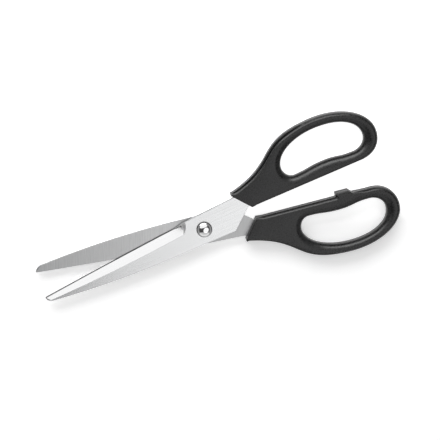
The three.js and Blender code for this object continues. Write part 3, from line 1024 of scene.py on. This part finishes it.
def turned_profile(name):
    """Turns a profile about z. The profile lies in XY: x is the radius less the core's,
    and y is how far down it lies."""
    inputs = {"Profile": ("Geometry", None), "Core radius": ("Float", 0.001), "Turns": ("Int", 96)}
    inputs["Finish"] = ("Material", None)
    tree, given, result = new_group(name, "GeometryNodeTree", inputs, {"Piece": "Geometry"})
    profile = add(tree, "GeometryNodeMeshToCurve", {"Mesh": given["Profile"]})["Curve"]
    size = {"Radius": given["Core radius"], "Resolution": given["Turns"]}
    circle = add(tree, "GeometryNodeCurvePrimitiveCircle", size)["Curve"]
    turned = add(tree, "GeometryNodeCurveToMesh", {"Curve": circle, "Profile Curve": profile})["Mesh"]
    merged = add(tree, "GeometryNodeMergeByDistance", {"Geometry": turned, "Distance": 1e-6})["Geometry"]
    plain = add(tree, "GeometryNodeRealizeInstances", {"Geometry": merged})["Geometry"]
    finish = {"Geometry": plain, "Material": given["Finish"]}
    plug(tree, result, {"Piece": add(tree, "GeometryNodeSetMaterial", finish)["Geometry"]})
    return tree


def set_inputs(modifier, values):
    """Sets the named inputs of a modifier's tree"""
    sockets = modifier.node_group.interface.items_tree
    identifiers = {socket.name: socket.identifier for socket in sockets if socket.in_out == "INPUT"}
    for name, value in values.items():
        modifier[identifiers[name]] = value


def turned_piece(name, profile, closed, material, turns):
    """A piece turned about the pivot from [radius, height] points in millimetres"""
    mesh = bpy.data.meshes.new(name)
    points = [((r - CORE) / MILLIMETRES, -z / MILLIMETRES, 0.0) for r, z in profile]
    count = len(points)
    mesh.from_pydata(points, [(i, (i + 1) % count) for i in range(count if closed else count - 1)], [])
    piece = new_object(name, mesh)
    modifier = piece.modifiers.new("turned", "NODES")
    modifier.node_group = shared(turned_profile)
    set_inputs(modifier, {"Core radius": CORE / MILLIMETRES, "Turns": turns, "Finish": material})
    make_plain(piece)
    with edited(piece.data) as shape:
        bmesh.ops.remove_doubles(shape, verts=shape.verts, dist=1e-6)
        bmesh.ops.recalc_face_normals(shape, faces=shape.faces)
    piece.data.transform(AT_PIVOT)
    finish_mesh(piece.data, TURNED_SHARP)
    return piece


def dome(radius, rim, top, count):
    """Profile points of a dome, from its rim to the axis"""
    points = [(radius * x, rim + (top - rim) * z) for x, z in circle_points(0, math.pi / 2, count)]
    return points[:-1] + [(0.0, points[-1][1])]


# Operators


def settings(context):
    names = ("scissors_blade", "scissors_handle", "scissors_pivot")
    return [Millimetres(getattr(context.scene, name)) for name in names]


def seat(piece, body, replaced):
    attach(piece, body)
    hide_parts(replaced)


def blade_finishes(name, look, turn):
    """A blade's materials, in the order of its finishes"""
    across = math.copysign(look.across, -turn)
    flat = {"roughness": (0.20, 0.28), "contrast": 0.14, "lines": 4000.0, "streaks": 1300.0}
    bevel = {"roughness": (0.16, 0.22), "contrast": 0.04, "lines": 4000.0, "streaks": 1800.0, "bump": 0.04}
    # The inner face is darkened by painted shade round the pivot and along the shank
    inner = {"roughness": (0.34, 0.37), "contrast": 0.22, "lines": 9000.0, "streaks": 5200.0, "pivot_shade": 0.76}
    return [
        ground_steel(f"{name}_flat", look.flat_colour, turn, **flat),
        ground_steel(f"{name}_bevel", look.bevel_colour, turn, **bevel),
        ground_steel(f"{name}_inner", look.inner_colour, across, **inner),
        plain_metal(f"{name}_edge", look.edge_colour, roughness=(0.30, 0.42)),
        # The honed facet's dark colour is painted shade along the cutting edge
        plain_metal(f"{name}_honed", look.honed_shade_colour, roughness=(0.30, 0.42)),
        plain_metal(f"{name}_runout", look.bevel_colour, roughness=(0.38, 0.44)),
    ]


class SCISSORS_OT_blades(bpy.types.Operator):
    """Makes the two ground blades"""

    bl_idname = "scissors.blades"
    bl_label = "Blades"

    def execute(self, context):
        blade, handle, _ = settings(context)
        plan = BladePlan(blade, handle)
        for name, (body, place, turn) in zip(("front_blade", "rear_blade"), HALVES):
            finishes = blade_finishes(name, context.scene.scissors_blade, turn)
            piece = blade_shell(plan).piece(f"ground_{name}", finishes, place, BLADE_SHARP)
            seat(piece, body, name)
        return {"FINISHED"}


class SCISSORS_OT_handles(bpy.types.Operator):
    """Makes the two moulded loop handles, one with the closing stop"""

    bl_idname = "scissors.handles"
    bl_label = "Handles"

    def execute(self, context):
        blade, handle, _ = settings(context)
        base = context.scene.scissors_handle.plastic_colour
        look = {"contrast": (0.3, 2.5), "roughness": (0.22, 0.38), "grain": 1100.0, "bump": 0.7}
        plastic = moulded_plastic("handle_plastic_grain", base, **look)
        blade_plan, handle_plan = BladePlan(blade, handle), HandlePlan(handle)
        for name, (body, place, _) in zip(("finger_handle", "thumb_handle"), HALVES):
            shell = handle_shell(handle_plan, with_stop=name == "thumb_handle")
            piece = shell.piece(f"moulded_{name}", [plastic], place, HANDLE_SHARP)
            tool = tang_tool(blade_plan, handle.fit).piece(f"{name}_pocket", [plastic], place, HANDLE_SHARP)
            cut(piece, tool, HANDLE_SHARP)
            seat(piece, body, name)
        return {"FINISHED"}


class SCISSORS_OT_pivot(bpy.types.Operator):
    """Turns the rivet, its cap and the two washers"""

    bl_idname = "scissors.pivot"
    bl_label = "Pivot"

    def execute(self, context):
        blade, _, p = settings(context)
        look = context.scene.scissors_pivot
        # The chrome's darker rim is painted shade
        chrome = plain_metal("rivet_chrome_polish", look.chrome_colour, roughness=(0.03, 0.06), rim=0.22)
        spring = plain_metal("spring_steel_plain", look.spring_colour, roughness=(0.32, 0.46))
        moulded = {"contrast": (0.92, 1.04), "roughness": (0.42, 0.55), "grain": 5000.0, "bump": 0.15}
        nylon = moulded_plastic("nylon_washer", look.nylon_colour, **moulded)
        rivet, cap, dished, flat = self.profiles(p, blade.gap / 2 + blade.thickness)
        for name, replaced, profile, closed, finish, slot in (
            ("domed_rivet", "pivot_rivet", rivet, False, chrome, "rivet_chrome"),
            ("domed_cap", "rivet_cap", cap, False, chrome, "rivet_chrome"),
            ("dished_washer", "spring_washer", dished, True, spring, "spring_steel"),
            ("flat_washer", "friction_washer", flat, True, nylon, "nylon"),
        ):
            piece = turned_piece(name, profile, closed, finish, look.turns)
            seat(piece, "front_half", replaced)
        return {"FINISHED"}

    def profiles(self, p, outer):
        """Profiles of rivet, cap and washers between blades whose outer faces lie this far out"""
        shank, bore = p.shank / 2, p.shank / 2 + p.running
        seat_z = outer + p.stack
        spring_top = -outer - p.stack
        spring_low = spring_top - p.spring_thickness - p.spring_dish
        cap_top = spring_low - p.stack
        shank_end = cap_top - p.tail
        head, cap, spring, friction = p.head / 2, p.cap / 2, p.spring / 2, p.friction / 2
        half = p.friction_thickness / 2
        rivet = [(0, shank_end), (shank, shank_end), (shank, seat_z)]
        rivet += [(head - RIM_CHAMFER, seat_z), (head, seat_z + RIM_CHAMFER)]
        rivet += dome(head, seat_z + p.head_rim, seat_z + p.head_height, 40)
        hollow = shank_end - p.stack
        domed = dome(cap, cap_top - p.head_rim, cap_top - p.cap_height, 24)[::-1]
        domed += [(cap, cap_top), (bore, cap_top), (bore, hollow), (0, hollow)]
        dished = [(bore, spring_low), (spring, spring_low + p.spring_dish)]
        dished += [(spring, spring_top), (bore, spring_top - p.spring_dish)]
        return rivet, domed, dished, [(bore, -half), (friction, -half), (friction, half), (bore, half)]


# Stage

# Name, degrees off the vertical, degrees from the picture's right, distance, width, height, radiance
LAMPS = (
    ("key", 56, 106, 1.7, 2.1, 0.95, 4.6),
    ("upper", 27, 107, 1.6, 2.2, 1.15, 1.02),
    ("side", 19, 322, 1.6, 1.3, 1.1, 1.06),
    ("card", 54, 272, 1.5, 2.4, 1.5, 0.52),
)
AIM = Vector((0, 0, 0.005))
SENSOR = 36.0
NEAREST = 0.01
FLOOR_REACH = 4.0
FLOOR_GAP = 0.00003
# The floor's glow rises towards the finger handle, and again far from the object
GLOW_WAY = (0.2, 1.0, 0.0)
GLOW_RISE = (-0.014, 0.006)
GLOW_AWAY = (0.18, 0.5)
# Heights, as the world's coordinates give them, between which the mirrored backdrop fades into the sky
BACKDROP_FADE = (0.45, 0.8)


def toward(azimuth, right, up):
    """A way along the floor, by its angle from the picture's right"""
    return math.cos(azimuth) * right + math.sin(azimuth) * up


def softbox(name, place, width, height, power):
    """A lamp whose width runs across the picture"""
    data = bpy.data.lights.new(name, "AREA")
    data.shape = "ELLIPSE"
    data.size, data.size_y = width, height
    data.energy = power
    lamp = new_object(name, data)
    lamp.location = place
    lamp.rotation_euler = (AIM - place).to_track_quat("-Z", "Y").to_euler()
    return lamp


class SCISSORS_OT_stage(bpy.types.Operator):
    """Sets up the floor, the studio light and the camera"""

    bl_idname = "scissors.stage"
    bl_label = "Stage"

    def execute(self, context):
        stage = context.scene.scissors_stage
        right = Vector((math.cos(stage.roll), -math.sin(stage.roll), 0))
        up = Vector((math.sin(stage.roll), math.cos(stage.roll), 0))
        self.camera(context.scene, stage, right, up)
        self.floor(stage)
        for name, lean, azimuth, distance, width, height, radiance in LAMPS:
            lean = math.radians(lean)
            way = math.sin(lean) * toward(math.radians(azimuth), right, up) + math.cos(lean) * UP
            power = radiance * math.pi**2 * width * height / 4
            lamp = softbox(name, AIM + distance * way, width, height, power)
            if name == "key":
                self.shade_blades(lamp)
        self.world(context.scene, stage)
        context.scene.view_settings.view_transform = "Standard"
        return {"FINISHED"}

    def shade_blades(self, lamp):
        """Keeps a lamp off the blades, as a flag on a stand does, so that they don't glare"""
        flagged = bpy.data.collections.new(f"{lamp.name}_shade")
        for blade in (piece for piece in bpy.data.objects if piece.name.startswith("ground_")):
            flagged.objects.link(blade)
        for held in flagged.collection_objects:
            held.light_linking.link_state = "EXCLUDE"
        lamp.light_linking.receiver_collection = flagged

    def camera(self, scene, stage, right, up):
        tilt = Matrix.Rotation(stage.tilt, 3, UP.cross(toward(stage.lean, right, up)))
        right, up, back = tilt @ right, tilt @ up, tilt @ UP
        shift_x, shift_y = ((place - PICTURE / 2) * stage.pixel for place in PIVOT_IN_PICTURE)
        data = bpy.data.cameras.new("camera")
        data.sensor_width = SENSOR
        data.lens = SENSOR * stage.distance / (stage.pixel * PICTURE)
        data.clip_start = NEAREST
        camera = new_object("camera", data)
        place = PIVOT - shift_x * right + shift_y * up + stage.distance * back
        camera.matrix_world = Matrix.Translation(place) @ Matrix((right, up, back)).transposed().to_4x4()
        scene.camera = camera

    def floor(self, stage):
        mesh = bpy.data.meshes.new("floor")
        sides = ((-1, -1), (1, -1), (1, 1), (-1, 1))
        corners = [(x * FLOOR_REACH, y * FLOOR_REACH, -FLOOR_GAP) for x, y in sides]
        mesh.from_pydata(corners, [], [range(len(corners))])
        material, tree, shader, where = new_material("pale_floor")
        across = combine(tree, "DOT_PRODUCT", where, GLOW_WAY)["Value"]
        away = add(tree, "ShaderNodeVectorMath", {0: where}, operation="LENGTH")["Value"]
        rise = remap(tree, across, *GLOW_RISE, stage.glow_near, stage.glow_far)
        bright = calculate(tree, "MAXIMUM", rise, remap(tree, away, *GLOW_AWAY, 0.0, 1.0))
        path = add(tree, "ShaderNodeLightPath", {})
        seen = calculate(tree, "MULTIPLY", path["Is Camera Ray"], bright)
        mirrored = calculate(tree, "MULTIPLY", path["Is Glossy Ray"], stage.glow_near)
        plug(tree, shader, {"Base Color": (*stage.floor_colour, 1.0), "Emission Color": (1, 1, 1, 1)})
        plug(tree, shader, {"Roughness": 0.9, "Specular IOR Level": 0.1})
        plug(tree, shader, {"Emission Strength": calculate(tree, "ADD", seen, mirrored)})
        mesh.materials.append(material)
        new_object("floor", mesh)

    def world(self, scene, stage):
        world = bpy.data.worlds.new("studio")
        scene.world = world
        world.use_nodes = True
        tree = world.node_tree
        tree.nodes.clear()
        path = add(tree, "ShaderNodeLightPath", {})
        where = add(tree, "ShaderNodeTexCoord", {})["Generated"]
        height = add(tree, "ShaderNodeSeparateXYZ", {0: where})["Z"]
        soft = {"interpolation_type": "SMOOTHSTEP"}
        fade = remap(tree, height, *BACKDROP_FADE, stage.backdrop_glow, stage.sky_light, **soft)
        mirrored = calculate(tree, "MULTIPLY", path["Is Glossy Ray"], fade)
        bright = calculate(tree, "MAXIMUM", path["Is Camera Ray"], mirrored)
        strength = calculate(tree, "MAXIMUM", bright, stage.sky_light)
        backdrop = add(tree, "ShaderNodeBackground", {"Color": (1, 1, 1, 1), "Strength": strength})[0]
        add(tree, "ShaderNodeOutputWorld", {"Surface": backdrop})


class SCISSORS_PT_build(bpy.types.Panel):
    """Lists the steps that build the scissors"""

    bl_idname = "SCISSORS_PT_build"
    bl_label = "Scissors"
    bl_space_type = "VIEW_3D"
    bl_region_type = "UI"
    bl_category = "Scissors"

    def draw(self, context):
        for operator in OPERATORS:
            self.layout.operator(operator.bl_idname)


GROUPS = {
    "scissors_blade": BladeSettings,
    "scissors_handle": HandleSettings,
    "scissors_pivot": PivotSettings,
    "scissors_stage": StageSettings,
}
OPERATORS = (SCISSORS_OT_blades, SCISSORS_OT_handles, SCISSORS_OT_pivot, SCISSORS_OT_stage)
CLASSES = (*GROUPS.values(), *OPERATORS, SCISSORS_PT_build)


def register():
    for item in CLASSES:
        bpy.utils.register_class(item)
    for name, group in GROUPS.items():
        setattr(bpy.types.Scene, name, PointerProperty(type=group))


def unregister():
    for name in GROUPS:
        delattr(bpy.types.Scene, name)
    for item in reversed(CLASSES):
        bpy.utils.unregister_class(item)


def main():
    register()
    bpy.ops.scissors.blades()
    bpy.ops.scissors.handles()
    bpy.ops.scissors.pivot()
    bpy.ops.scissors.stage()


if __name__ == "__main__":
    main()
